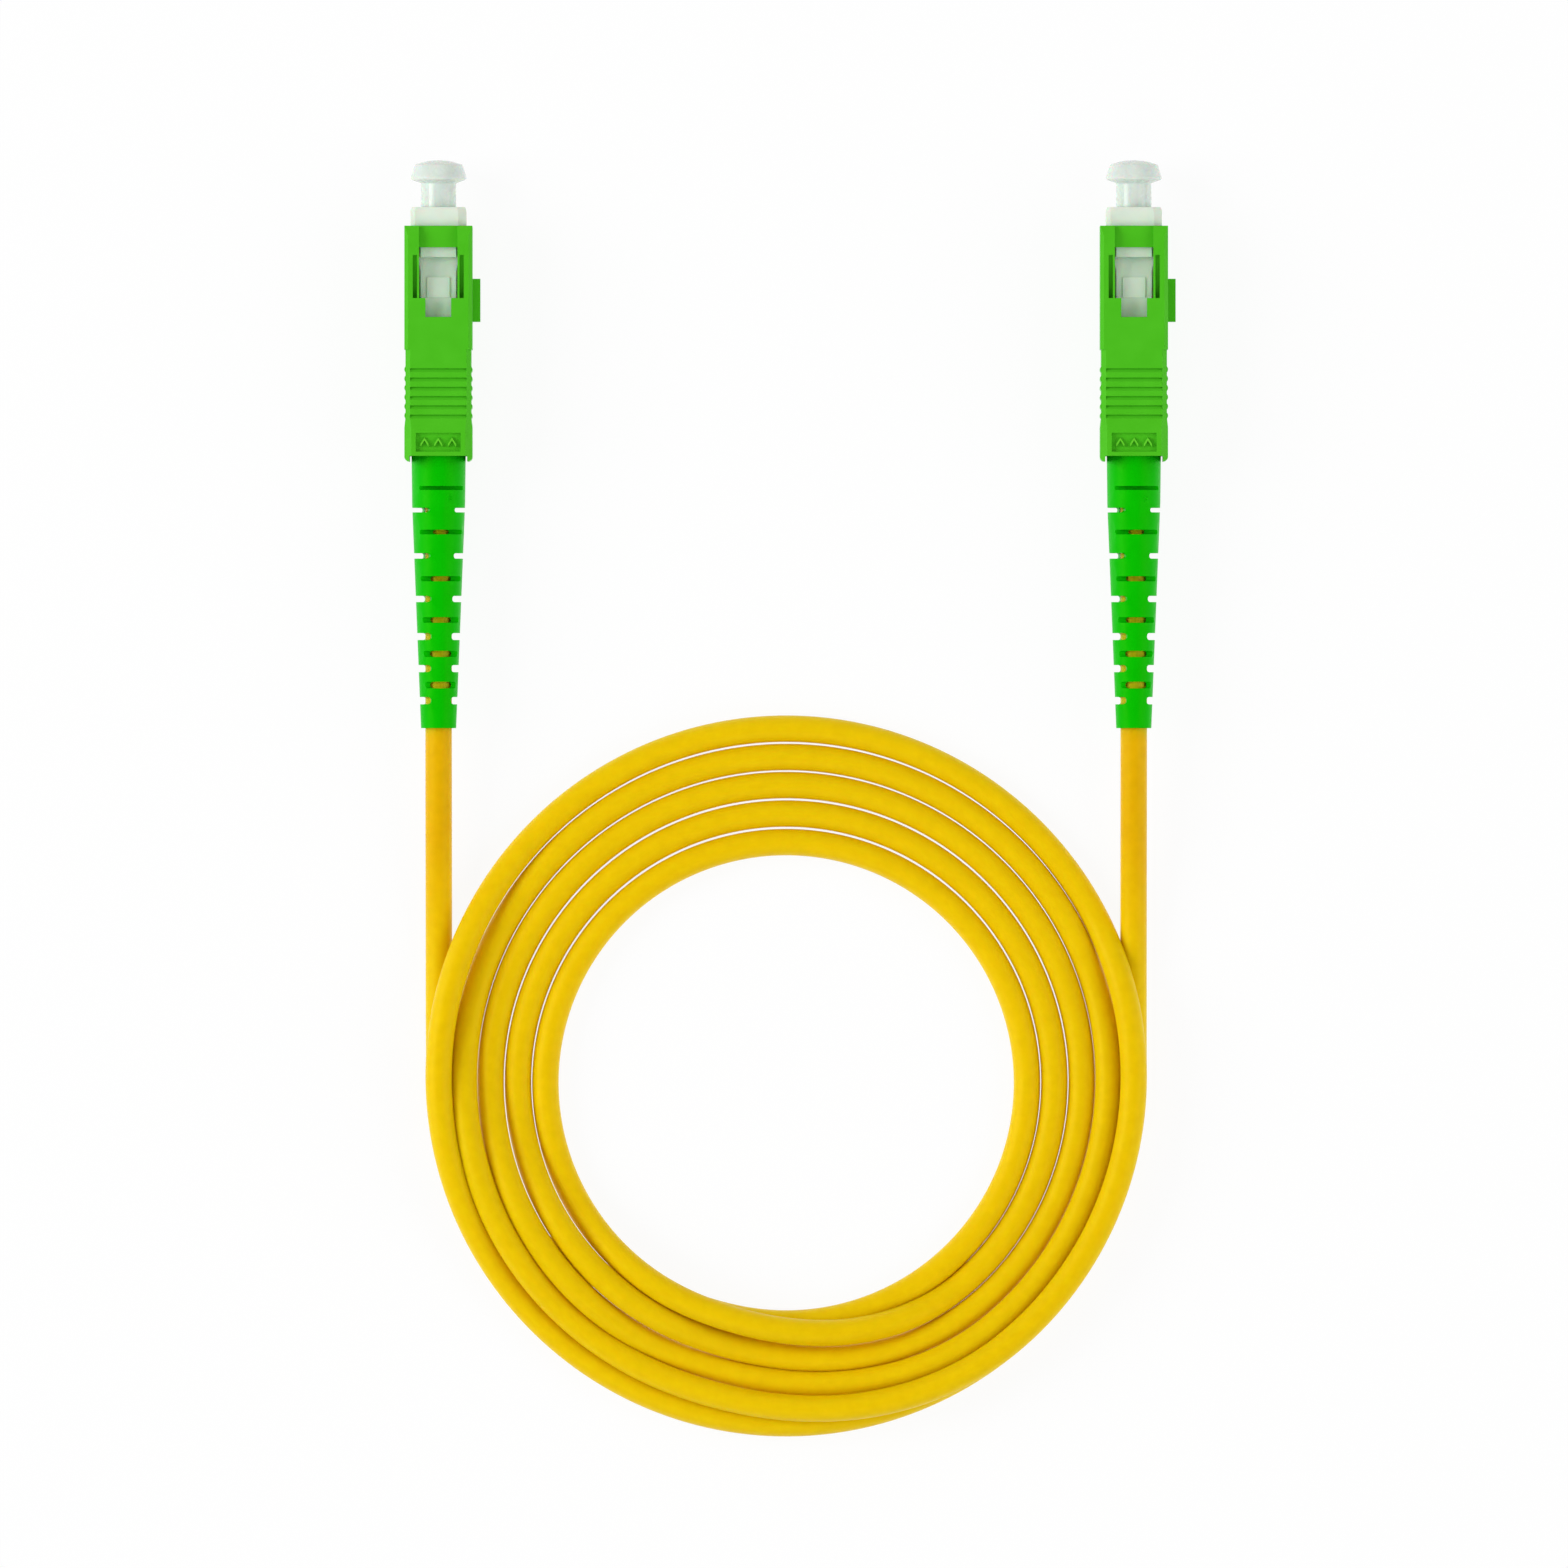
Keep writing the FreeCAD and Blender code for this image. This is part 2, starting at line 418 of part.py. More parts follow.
def dust_cap():
    return turned([
        (0, CAP_BORE_END_Y), (CAP_BORE_R - 0.3, CAP_BORE_END_Y), (CAP_BORE_R, CAP_BORE_END_Y - 0.3),
        (CAP_BORE_R, CAP_REAR_Y + 0.2), (CAP_BORE_R + 0.2, CAP_REAR_Y), (CAP_STEM_R - 0.1, CAP_REAR_Y),
        (CAP_STEM_R, CAP_REAR_Y + 0.2), (CAP_STEM_R, CAP_NECK_Y), (CAP_RIM_R - 0.12, CAP_RIM_Y - 0.12),
        (CAP_RIM_R, CAP_RIM_Y + 0.1), (CAP_TOP_R, CAP_TOP_Y), (CAP_TOP_R - 0.25, CAP_TOP_Y + 0.22),
        (CAP_DOME_R, CAP_DOME_Y), (0, CAP_DOME_Y)
    ])


# ---- the cord ----
def rounded_path(points):
    """Straight runs joined by tangent arcs, each as large as its two runs allow. Prints the radii."""
    edges, start = [], points[0]
    for before, corner, after in zip(points, points[1:], points[2:]):
        back, ahead = before - corner, after - corner
        half_turn = (math.pi - back.getAngle(ahead)) / 2
        tangent = ARC_SHARE * min(back.Length, ahead.Length)
        radius = tangent / math.tan(half_turn)
        print(f"bend of {math.degrees(2 * half_turn):.1f} degrees, radius {radius:.1f} mm")
        back.normalize()
        ahead.normalize()
        a, b = corner + back * tangent, corner + ahead * tangent
        inward = back + ahead
        inward.normalize()
        middle = corner + inward * (radius / math.cos(half_turn) - radius)
        edges += [Part.LineSegment(start, a).toShape(), Part.Arc(a, middle, b).toShape()]
        start = b
    edges.append(Part.LineSegment(start, points[-1]).toShape())
    return Part.Wire(edges)


def cord_leg(x, coil):
    """One straight end of the cord, from the cut end of its jacket to where it passes under the coil."""
    path = rounded_path([V(x, y, z) for y, z in LEG_POINTS])
    section = Part.Wire(Part.makeCircle(CORD_R, V(x, *LEG_POINTS[0]), V(0, 1, 0)))
    tube = path.makePipeShell([section], True, False)
    wanted = math.pi * CORD_R**2 * path.Length
    print(f"leg of {path.Length:.1f} mm, volume {tube.Volume / wanted:.4f} of section times length")
    return tube.cut(coil)


def cord_coil():
    """The coil's outer shape: one layer of turns, and the stretch where they ride over the crossing cord."""
    outer = COIL_OUTER_R
    inner = COIL_OUTER_R - 2 * CORD_R - (TURNS - 1) * TURN_PITCH

    def ring(z0, z1, degrees):
        points = [(inner, z0), (outer, z0), (outer, z1 - COIL_ROUND), (outer - COIL_ROUND, z1),
                  (inner + COIL_ROUND, z1), (inner, z1 - COIL_ROUND)]
        corners = [V(r, 0, z) for r, z in points]
        return Part.Face(Part.makePolygon(corners + corners[:1])).revolve(V(0, 0, 0), V(0, 0, 1), degrees)

    layer = ring(0, 2 * CORD_R, 360)
    raised = ring(0, 4 * CORD_R, RAISED_TO_DEG - RAISED_FROM_DEG)
    raised = raised.rotated(V(0, 0, 0), V(0, 0, 1), RAISED_FROM_DEG)
    coil = layer.fuse(raised).removeSplitter()
    coil.translate(V(0, COIL_CENTRE_Y, 0))
    return coil


def connector():
    """Every piece of one connector, in its own frame."""
    return {
        "grip_housing": grip_housing(),
        "plug_frame": plug_frame(),
        "ferrule": ferrule(),
        "ferrule_flange": ferrule_flange(),
        "glass_fibre": glass_fibre(),
        "ferrule_spring": ferrule_spring(),
        "rear_body": rear_body(),
        "aramid_yarn": aramid_yarn(),
        "crimp_sleeve": crimp_sleeve(),
        "buffered_fibre": buffered_fibre(),
        "boot": boot(),
        "dust_cap": dust_cap(),
    }


def main():
    os.makedirs("parts", exist_ok=True)
    coil = cord_coil()
    nodes = {"cord_coil": coil}
    for name, shape in connector().items():
        for end, x in (("a", -AXIS_X), ("b", AXIS_X)):
            nodes[f"{name}_{end}"] = shape.translated(V(x, FRONT_Y, AXIS_Z))
    for end, x in (("a", -AXIS_X), ("b", AXIS_X)):
        nodes[f"cord_leg_{end}"] = cord_leg(x, coil)
    for name, shape in nodes.items():
        if not shape.isValid():
            print(f"{name} is not a valid shape")
        shape.exportStep(f"parts/{name}.step")
        print(f"{name}: {len(shape.Solids)} solid, {shape.Volume:.3f} mm3")


main()
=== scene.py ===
"""The looks of a coiled fibre optic patch cord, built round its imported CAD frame.

Lengths are in millimetres until a piece is finished, when it is scaled to the frame's metres. The two ends of
the cord, a and b, have the same pieces, each placed by its end's CAD nodes.
"""

import json
import math
import random

import bmesh
import bpy
from mathutils import Matrix, Vector


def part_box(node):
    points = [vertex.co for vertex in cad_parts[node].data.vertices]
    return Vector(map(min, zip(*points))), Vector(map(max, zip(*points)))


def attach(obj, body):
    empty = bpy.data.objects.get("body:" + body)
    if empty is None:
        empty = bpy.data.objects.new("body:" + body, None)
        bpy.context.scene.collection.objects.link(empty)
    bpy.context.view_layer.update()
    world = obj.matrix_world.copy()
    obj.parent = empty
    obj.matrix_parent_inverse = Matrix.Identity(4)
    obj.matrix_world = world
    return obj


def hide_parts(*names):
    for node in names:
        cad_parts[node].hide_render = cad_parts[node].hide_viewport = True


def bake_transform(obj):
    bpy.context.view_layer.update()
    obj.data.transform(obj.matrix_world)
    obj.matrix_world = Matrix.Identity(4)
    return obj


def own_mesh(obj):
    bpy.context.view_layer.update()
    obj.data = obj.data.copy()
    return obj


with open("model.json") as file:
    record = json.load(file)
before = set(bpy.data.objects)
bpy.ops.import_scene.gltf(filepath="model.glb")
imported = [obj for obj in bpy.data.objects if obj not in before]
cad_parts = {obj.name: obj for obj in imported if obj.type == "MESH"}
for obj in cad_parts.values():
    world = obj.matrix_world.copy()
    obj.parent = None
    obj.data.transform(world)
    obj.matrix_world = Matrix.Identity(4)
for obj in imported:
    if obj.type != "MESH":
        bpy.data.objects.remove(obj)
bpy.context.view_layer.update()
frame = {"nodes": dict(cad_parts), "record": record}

MM = 0.001
ENDS = ("a", "b")

# ---- the camera's view ----
VIEW_CENTRE = (-0.24, -37.1)
VIEW_WIDTH = 171.2
VIEW_HEIGHT = 4000.0
SENSOR = 36.0

# ---- the cord ----
CORD_D = 2.9
CORD_R = CORD_D / 2
COIL_CENTRE_Y = -69.0
TURNS = 5
OUTER_R = 37.95  # centreline of the outermost turn, and each connector's distance from x = 0
TURN_R = (26.3, 29.3, 32.3, 35.2, OUTER_R)  # centreline of each turn, from the innermost
TURN_DROP = (0.75, 0.63, 0.52, 0.35, 0.0)  # how far its centre lies below the coil's
POINTS_PER_TURN = 36
UNDER_FROM, UNDER_TO = 180, 250  # where the cord passes in under the turns, in degrees
SHIFT_ARC = 60  # each turn moves out to the next over this many degrees
HUMP_TOP, HUMP_RAMP, HUMP_HEIGHT = 6, 36, 3.0  # half its flat top and its ramp in degrees, and its height
LEAVING_SHARE = 0.8  # of its gap to the leaving end, which counts where the last turn comes down beside it
SQUEEZE = 0.06  # touching turns press into each other this much, as the jacket is soft
AXIS_Z = 4.5
LEG_ROUTE = [(-1.2, AXIS_Z), (-19.7, AXIS_Z), (-36.5, AXIS_Z), (-53.0, CORD_R)]
BOOT_END_Y = -31.0

# ---- the connectors' pieces, in a frame with its origin on the axis at the housing's front face ----
CAP_STEM_R, CAP_STEM_END_Y, CAP_RIM_Y, CAP_BORE_R, CAP_BORE_END_Y = 1.90, -3.4, 4.64, 1.27, 4.1
CAP_CORNERS = [  # (distance from the axis, y, rounding) from its domed end, along its outside and up its bore
    (0, 7.2, 0), (1.2, 7.14, 4), (2.62, 6.72, 0.3), (3.06, 5.26, 0.1), (2.96, 5.06, 0.1), (2.02, 4.74, 0.1),
    (CAP_STEM_R, CAP_RIM_Y, 0.2), (CAP_STEM_R, CAP_STEM_END_Y, 0.12), (CAP_BORE_R, CAP_STEM_END_Y, 0.15),
    (CAP_BORE_R, CAP_BORE_END_Y, 0.3), (0, CAP_BORE_END_Y, 0)
]
CAP_SEGMENTS = 144
CAP_RIBS, CAP_RIB_FIRST, CAP_RIB_HALF, CAP_RIB_EDGE = 6, -22, 13, 3  # the last three in degrees
CAP_RIB_RISE, CAP_RIB_RUNOUT = 0.06, 0.2

SPRING_FRONT_Y, SPRING_REAR_Y, SPRING_R, WIRE_R = -6.92, -12.48, 1.8, 0.22
SPRING_TURNS, SPRING_STEPS, WIRE_SIDES = 7, 24, 12

BUFFER_FRONT_Y, BUFFER_REAR_Y, BUFFER_R, BUFFER_BOW = -7.3, -24.0, 0.45, 0.12
BUFFER_STEPS, BUFFER_SIDES = 48, 20

YARN_FRONT_Y, YARN_REAR_Y, YARN_GATHER_Y, YARN_GATHER_L = -16.0, -24.0, -21.6, 1.6
YARN_STRANDS, STRAND_R, STRAND_STEPS, STRAND_SIDES = 46, 0.09, 20, 6
YARN_OVER_R, YARN_INSIDE_R = 1.745, 1.0  # over the rear body's barrel, and in the jacket's end

MARKS, MARK_PITCH, MARK_MIDDLE_Y, MARK_BASE_Z, MARK_TOP_Z = 3, 1.5, -23.62, 4.03, 4.42
MARK_HALF_W, MARK_HALF_L, MARK_HALF_STROKE, MARK_DRAFT = 0.44, 0.34, 0.11, 0.05

GATE_Y, GATE_FROM_TOP, GATE_AXIS_DISTANCE = -29.75, 25.7, 2.9  # the second is in degrees
GATE_CORNERS = [  # (distance from the mark's own axis, height over the boot, rounding)
    (0.01, 0.0, 0), (0.16, 0.0, 0.03), (0.2, 0.05, 0.03), (0.29, 0.05, 0.04), (0.33, -0.15, 0.01),
    (0.01, -0.15, 0)
]
GATE_SEGMENTS = 32

# ---- the stage ----
FLOOR_HALF = 4.0  # half its side, in metres
FLOOR_DROP = 0.02  # how far it lies under the object, to keep the two surfaces apart
FLOOR_GLOW = 0.91
WORLD_LIGHT = 0.28
LIGHTS = (  # name, place and size in metres, and power in watts
    ("key", (-1.7, 0.2, 1.1), 1.2, 28.0),
    ("fill", (1.75, -0.2, 1.1), 1.6, 19.0),
    ("back", (0.1, 1.6, 1.6), 1.6, 6.5),
    ("front", (-0.1, -1.8, 1.6), 1.6, 12.5),
)


def smooth(share):
    """A share from 0 to 1, eased at both ends."""
    share = min(max(share, 0.0), 1.0)
    return share * share * (3 - 2 * share)


def smooth_inverse(share):
    """The share that smooth() turns into this one."""
    return 0.5 - math.sin(math.asin(1 - 2 * share) / 3)


def climb(gap):
    """How far one turn is above another that lies this far to its side in plan, if they touch."""
    return math.sqrt(max(0.0, (CORD_D - SQUEEZE)**2 - gap**2))


def turn_radius(place, angle):
    """The distance from the coil's centre at an angle, for a place from 1, the innermost turn, to TURNS."""
    inner = min(math.floor(place), TURNS - 1)
    share = place - inner
    near, far = (TURN_R[i] - TURN_DROP[i] * math.sin(angle) for i in (inner - 1, inner))
    return near + (far - near) * share


def coil_point(travel):
    """A point of the cord's route, travel degrees round the coil from +X. The first turn is the innermost."""
    angle = math.radians(travel)
    turn = math.floor((travel - UNDER_TO) / 360) + 1
    shift = smooth((travel - UNDER_TO - 360 * (turn - 1)) / SHIFT_ARC)
    if turn == 0:
        place = TURNS - (TURNS - 1) * smooth((travel - UNDER_FROM) / (UNDER_TO - UNDER_FROM))
    else:
        place = min(max(turn - 1 + shift, 1), TURNS)
    radius = turn_radius(place, angle)

    heights = [0.0]
    if 0 < turn <= TURNS:
        beside = [turn_radius(place + side, angle) for side in (-1, 1) if 1 <= place + side <= TURNS]
        gap = min(abs(radius - other) for other in beside)
        heights.append(climb(gap) * (1 + math.cos(math.pi * place)) / 2)
    for crossed in range(1, TURNS + 1):
        share = (TURNS - crossed) / (TURNS - 1)
        centre = UNDER_FROM + (UNDER_TO - UNDER_FROM) * smooth_inverse(share) + 360 * crossed
        top = 2 * HUMP_TOP if crossed in (1, TURNS) else HUMP_TOP
        away = max(0.0, abs(travel - centre) - top)
        if away < HUMP_RAMP:
            heights.append(HUMP_HEIGHT * (1 + math.cos(math.pi * away / HUMP_RAMP)) / 2)
    if turn == 2:  # it comes down off the start of the first turn
        heights.append(climb(radius - turn_radius(1, angle)))
    if turn == TURNS:  # it climbs over the end of the cord, and stays over it until the end has left the coil
        past = max(0.0, travel - 360 * TURNS)
        leaves = OUTER_R * (1 - math.cos(math.radians(min(past, 90))))
        heights.append(climb(OUTER_R - radius + LEAVING_SHARE * leaves))
    reach = radius / math.cos(math.pi / POINTS_PER_TURN)
    return Vector((reach * math.cos(angle), COIL_CENTRE_Y + reach * math.sin(angle), CORD_R + max(heights)))


def cord_route():
    """The cord's control points: down one leg, round the coil, and up the other leg."""
    step = 360 / POINTS_PER_TURN
    straight = COIL_CENTRE_Y + OUTER_R * math.tan(math.radians(step / 2))
    leg = [*LEG_ROUTE, (straight, CORD_R)]
    count = round((TURNS + 0.5) * POINTS_PER_TURN)
    coil = [coil_point(UNDER_FROM + (i + 0.5) * step) for i in range(count)]
    down = [Vector((-OUTER_R, y, z)) for y, z in leg]
    up = [Vector((OUTER_R, y, z)) for y, z in reversed(leg)]
    return down + coil + up


def make_camera():
    """A long lens straight above, so far off that the view has almost no perspective."""
    data = bpy.data.cameras.new("camera")
    data.sensor_width = SENSOR
    data.lens = SENSOR * (VIEW_HEIGHT - AXIS_Z) / VIEW_WIDTH
    data.clip_end = 2.5 * VIEW_HEIGHT * MM
    camera = bpy.data.objects.new("camera", data)
    camera.location = Vector((*VIEW_CENTRE, VIEW_HEIGHT)) * MM
    bpy.context.scene.collection.objects.link(camera)
    bpy.context.scene.camera = camera


# ---- materials ----
class Finish:
    """A procedural material under construction: a principled shader and the nodes that feed it."""

    def __init__(self, name, **values):
        self.material = bpy.data.materials.new(name)
        self.material.use_nodes = True
        self.nodes = self.material.node_tree.nodes
        self.links = self.material.node_tree.links
        self.shader = self.nodes["Principled BSDF"]
        for socket, value in values.items():
            self.shader.inputs[socket.replace("_", " ")].default_value = value
        self.place = self.nodes.new("ShaderNodeTexCoord").outputs["Object"]

    def noise(self, scale, detail=3.0, stretch=(1, 1, 1)):
        """Noise with this many grains to the metre, drawn out along an axis by a stretch below 1."""
        mapping = self.nodes.new("ShaderNodeMapping")
        mapping.inputs["Scale"].default_value = stretch
        texture = self.nodes.new("ShaderNodeTexNoise")
        texture.inputs["Scale"].default_value = scale
        texture.inputs["Detail"].default_value = detail
        self.links.new(self.place, mapping.inputs["Vector"])
        self.links.new(mapping.outputs["Vector"], texture.inputs["Vector"])
        return texture.outputs["Fac"]

    def spread(self, value, low, high, source=(0.3, 0.7)):
        """A value's range, which is a noise's middle range unless it is given, spread from low to high."""
        node = self.nodes.new("ShaderNodeMapRange")
        node.inputs["From Min"].default_value, node.inputs["From Max"].default_value = source
        node.inputs["To Min"].default_value = low
        node.inputs["To Max"].default_value = high
        self.links.new(value, node.inputs["Value"])
        return node.outputs["Result"]

    def distance(self, centre, inner, outer):
        """0 within the inner distance of a point in millimetres, 1 beyond the outer one."""
        node = self.nodes.new("ShaderNodeVectorMath")
        node.operation = "DISTANCE"
        node.inputs[1].default_value = Vector(centre) * MM
        self.links.new(self.place, node.inputs[0])
        return self.spread(node.outputs["Value"], 0, 1, (inner * MM, outer * MM))

    def mix(self, factor, low, high):
        """A colour between two, each of which is a colour or another mix."""
        node = self.nodes.new("ShaderNodeMix")
        node.data_type = "RGBA"
        for socket, colour in (("A", low), ("B", high)):
            if isinstance(colour, tuple):
                node.inputs[socket].default_value = (*colour, 1)
            else:
                self.links.new(colour, node.inputs[socket])
        self.links.new(factor, node.inputs["Factor"])
        return node.outputs["Result"]

    def colour(self, mixed):
        self.links.new(mixed, self.shader.inputs["Base Color"])

    def roughness(self, value, low, high):
        self.links.new(self.spread(value, low, high), self.shader.inputs["Roughness"])

    def bump(self, *layers):
        """Bumps of (noise, height in millimetres), one laid on the other."""
        normal = None
        for value, height in layers:
            node = self.nodes.new("ShaderNodeBump")
            node.inputs["Strength"].default_value = 1.0
            node.inputs["Distance"].default_value = height * MM
            self.links.new(value, node.inputs["Height"])
            if normal:
                self.links.new(normal, node.inputs["Normal"])
            normal = node.outputs["Normal"]
        self.links.new(normal, self.shader.inputs["Normal"])


def moulded(name, dark, light, rough, grain=0.003, **values):
    """Injection-moulded plastic: a fine spark-eroded grain over faint flow marks, and an uneven colour."""
    finish = Finish(name, **values)
    finish.colour(finish.mix(finish.spread(finish.noise(420, 2.0), 0, 1), dark, light))
    finish.roughness(finish.noise(1500, 4.0), rough - 0.05, rough + 0.07)
    finish.bump((finish.noise(9000, 2.0), grain), (finish.noise(700, 2.0, (1, 0.25, 1)), 0.004))
    return finish.material


def jacket(name):
    """The extruded cable jacket: a fine matt skin, with painted shade that makes the straight ends a darker,
    deeper yellow than the coil.

    Inside the boots it is greener, as light through the green rubber makes it look.
    """
    finish = Finish(name, Specular_IOR_Level=0.3, Specular_Tint=(1.0, 0.78, 0.1, 1), Subsurface_Weight=0.6,
                    Subsurface_Scale=0.0025, Subsurface_Radius=(1.0, 0.75, 0.1))
    grain = finish.spread(finish.noise(900, 3.0), 0, 1)
    coil = finish.mix(grain, (0.775, 0.530, 0.0005), (0.815, 0.565, 0.001))
    # painted shade: the straight ends take a darker, deeper yellow copy of the coil's colour
    legs_painted_shade = finish.mix(grain, (0.715, 0.420, 0.0005), (0.755, 0.450, 0.001))
    in_boots = finish.mix(grain, (0.620, 0.510, 0.004), (0.660, 0.540, 0.006))
    coil_centre = (0, COIL_CENTRE_Y, 0)
    boot_end = math.hypot(OUTER_R, BOOT_END_Y - COIL_CENTRE_Y)  # its distance from there
    # the painted shade on the straight ends fades in just outside the outermost turn
    outside = finish.mix(finish.distance(coil_centre, OUTER_R + 2, OUTER_R + 8), coil, legs_painted_shade)
    finish.colour(finish.mix(finish.distance(coil_centre, boot_end + 0.3, boot_end + 1.5), outside, in_boots))
    finish.roughness(finish.noise(2500, 4.0), 0.40, 0.52)
    finish.bump((finish.noise(12000, 2.0), 0.002), (finish.noise(1200, 2.0), 0.004))
    return finish.material


def metal(name, dark, light, rough):
    """Turned and plated metal, with fine tool marks round the connector's axis."""
    finish = Finish(name, Metallic=1.0)
    finish.colour(finish.mix(finish.spread(finish.noise(600, 3.0), 0, 1), dark, light))
    marks = finish.noise(2500, 4.0, (0.05, 6.0, 0.05))
    finish.roughness(marks, rough - 0.08, rough + 0.12)
    finish.bump((marks, 0.002))
    return finish.material


def make_materials():
    """Every finish by name: one for each of the record's slots, and one for the housing's raised marks, which
    paints a highlight on them.
    """
    green_tint, rubber_tint = (0.35, 1.0, 0.12, 1), (0.30, 1.0, 0.03, 1)
    return {
        "green_plastic": moulded("green_plastic", (0.066, 0.490, 0.012), (0.074, 0.515, 0.015), 0.36,
                                 Specular_IOR_Level=0.38, Specular_Tint=green_tint),
        # the raised marks are painted a lighter green than the housing, a painted highlight on their narrow
        # tops
        "raised_mark_highlight": moulded("raised_mark_highlight", (0.125, 0.600, 0.025), (0.145, 0.630, 0.035), 0.30,
                               Specular_IOR_Level=0.38, Specular_Tint=green_tint),
        "green_rubber": moulded("green_rubber", (0.0005, 0.485, 0.0005), (0.001, 0.510, 0.001), 0.42, 0.002,
                                Specular_IOR_Level=0.16, Specular_Tint=rubber_tint),
        "white_plastic": moulded("white_plastic", (0.70, 0.79, 0.68), (0.75, 0.84, 0.73), 0.34,
                                 Subsurface_Weight=0.4, Subsurface_Scale=0.001, Specular_IOR_Level=0.4),
        "cap_plastic": moulded("cap_plastic", (0.67, 0.75, 0.69), (0.71, 0.79, 0.73), 0.26, 0.0015,
                               Subsurface_Weight=0.4, Subsurface_Scale=0.001, Specular_IOR_Level=0.5),
        "zirconia": moulded("zirconia", (0.82, 0.81, 0.77), (0.86, 0.85, 0.81), 0.1, 0.0003,
                            Coat_Weight=0.4, Subsurface_Weight=0.15, Subsurface_Scale=0.0005),
        "nickel": metal("nickel", (0.58, 0.55, 0.50), (0.68, 0.65, 0.60), 0.28),
        "spring_steel": metal("spring_steel", (0.52, 0.52, 0.53), (0.62, 0.62, 0.63), 0.25),
        "crimp_metal": metal("crimp_metal", (0.62, 0.61, 0.58), (0.70, 0.69, 0.66), 0.36),
        "buffer_white": moulded("buffer_white", (0.78, 0.78, 0.75), (0.83, 0.83, 0.80), 0.45, 0.001),
        "yellow_jacket": jacket("yellow_jacket"),
        "aramid": moulded("aramid", (0.70, 0.50, 0.12), (0.82, 0.62, 0.20), 0.6, 0.001, Sheen_Weight=0.4),
        "fibre_glass": moulded("fibre_glass", (0.86, 0.90, 0.92), (0.92, 0.95, 0.96), 0.08, 0.0002,
                               Transmission_Weight=0.8, IOR=1.46),
    }


# ---- building meshes, in millimetres ----
def skin(work, rings):
    """Joins rings of equally many points into a closed surface, with a flat end on the first and last."""
    loops = [[work.verts.new(point) for point in ring] for ring in rings]
    for near, far in zip(loops, loops[1:]):
        for i in range(len(near)):
            work.faces.new((near[i - 1], near[i], far[i], far[i - 1]))
    work.faces.new(reversed(loops[0]))
    work.faces.new(loops[-1])


def finished_mesh(name, work, place):
    """A mesh in metres from work about the origin in millimetres, moved to its place."""
    bmesh.ops.recalc_face_normals(work, faces=work.faces)
    bmesh.ops.translate(work, vec=place, verts=work.verts)
    bmesh.ops.scale(work, vec=Vector((MM, MM, MM)), verts=work.verts)
    mesh = bpy.data.meshes.new(name)
    work.to_mesh(mesh)
    work.free()
    mesh.shade_smooth()
    return mesh


def tube_rings(path, radius, sides):
    """Rings of points round a path, none of them twisted against the next."""
    rings = []
    across = (path[1] - path[0]).orthogonal()
    for i, point in enumerate(path):
        ahead = (path[min(i + 1, len(path) - 1)] - path[max(i - 1, 0)]).normalized()
        across = (across - ahead * across.dot(ahead)).normalized()
        other = ahead.cross(across)
        turns = (math.tau * side / sides for side in range(sides))
        rings.append([point + radius * (across * math.cos(turn) + other * math.sin(turn)) for turn in turns])
    return rings


def rounded_profile(corners, steps=5):
    """A line through (distance from the axis, y, radius) corners, each of them rounded off."""
    line = [corners[0][:2]]
    for before, corner, after in zip(corners, corners[1:], corners[2:]):
        here = Vector(corner[:2])
        back, ahead = Vector(before[:2]) - here, Vector(after[:2]) - here
        half_turn = (math.pi - back.angle(ahead)) / 2
        cut = min(corner[2] * math.tan(half_turn), 0.48 * back.length, 0.48 * ahead.length)
        a, b = here + back.normalized() * cut, here + ahead.normalized() * cut
        for step in range(steps + 1):
            share = step / steps
            line.append(tuple(a.lerp(here, share).lerp(here.lerp(b, share), share)))
    return line + [corners[-1][:2]]


def turned_rings(line, segments, swell=None):
    """The rings of a shape turned about the Y axis, swollen outwards by swell(angle, radius, y)."""
    rings = []
    for radius, y in line:
        ring = []
        for segment in range(segments):
            angle = math.tau * segment / segments
            reach = radius + (swell(angle, radius, y) if swell else 0)
            ring.append(Vector((reach * math.sin(angle), y, reach * math.cos(angle))))
        rings.append(ring)
    return rings


def rounded_mesh(name, node, radius, segments=2, flat_angle=0.6, sharp_angle=35):
    """A CAD node's own shape with its sharp edges rounded. Faces within the flat angle are joined first."""
    work = bmesh.new()
    work.from_mesh(frame["nodes"][node].data)
    bmesh.ops.scale(work, vec=Vector((1, 1, 1)) / MM, verts=work.verts)
    bmesh.ops.remove_doubles(work, verts=work.verts, dist=0.001)
    bmesh.ops.dissolve_limit(work, angle_limit=math.radians(flat_angle), verts=work.verts, edges=work.edges)
    mesh = bpy.data.meshes.new(name)
    work.to_mesh(mesh)
    work.free()
    mesh.shade_smooth()
    raw = bpy.data.objects.new(name + "_raw", mesh)
    bpy.context.scene.collection.objects.link(raw)
    bevel = raw.modifiers.new("bevel", "BEVEL")
    bevel.width = radius
    bevel.segments = segments
    bevel.limit_method = "ANGLE"
    bevel.angle_limit = math.radians(sharp_angle)
    raw.modifiers.new("normals", "WEIGHTED_NORMAL")
    bpy.context.view_layer.update()
    evaluated = raw.evaluated_get(bpy.context.evaluated_depsgraph_get())
    finished = bpy.data.meshes.new_from_object(evaluated)
    bpy.data.objects.remove(raw)
    finished.transform(Matrix.Scale(MM, 4))
    return finished


# ---- pieces ----
def seat(end):
    """The origin of a connector's own frame: on its axis, at the front face of its grip housing."""
    housing_low, housing_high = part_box(f"grip_housing_{end}")
    ferrule_low, ferrule_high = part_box(f"ferrule_{end}")
    middle_x, middle_z = (ferrule_low.x + ferrule_high.x) / 2, (housing_low.z + housing_high.z) / 2
    return Vector((middle_x, housing_high.y, middle_z)) / MM


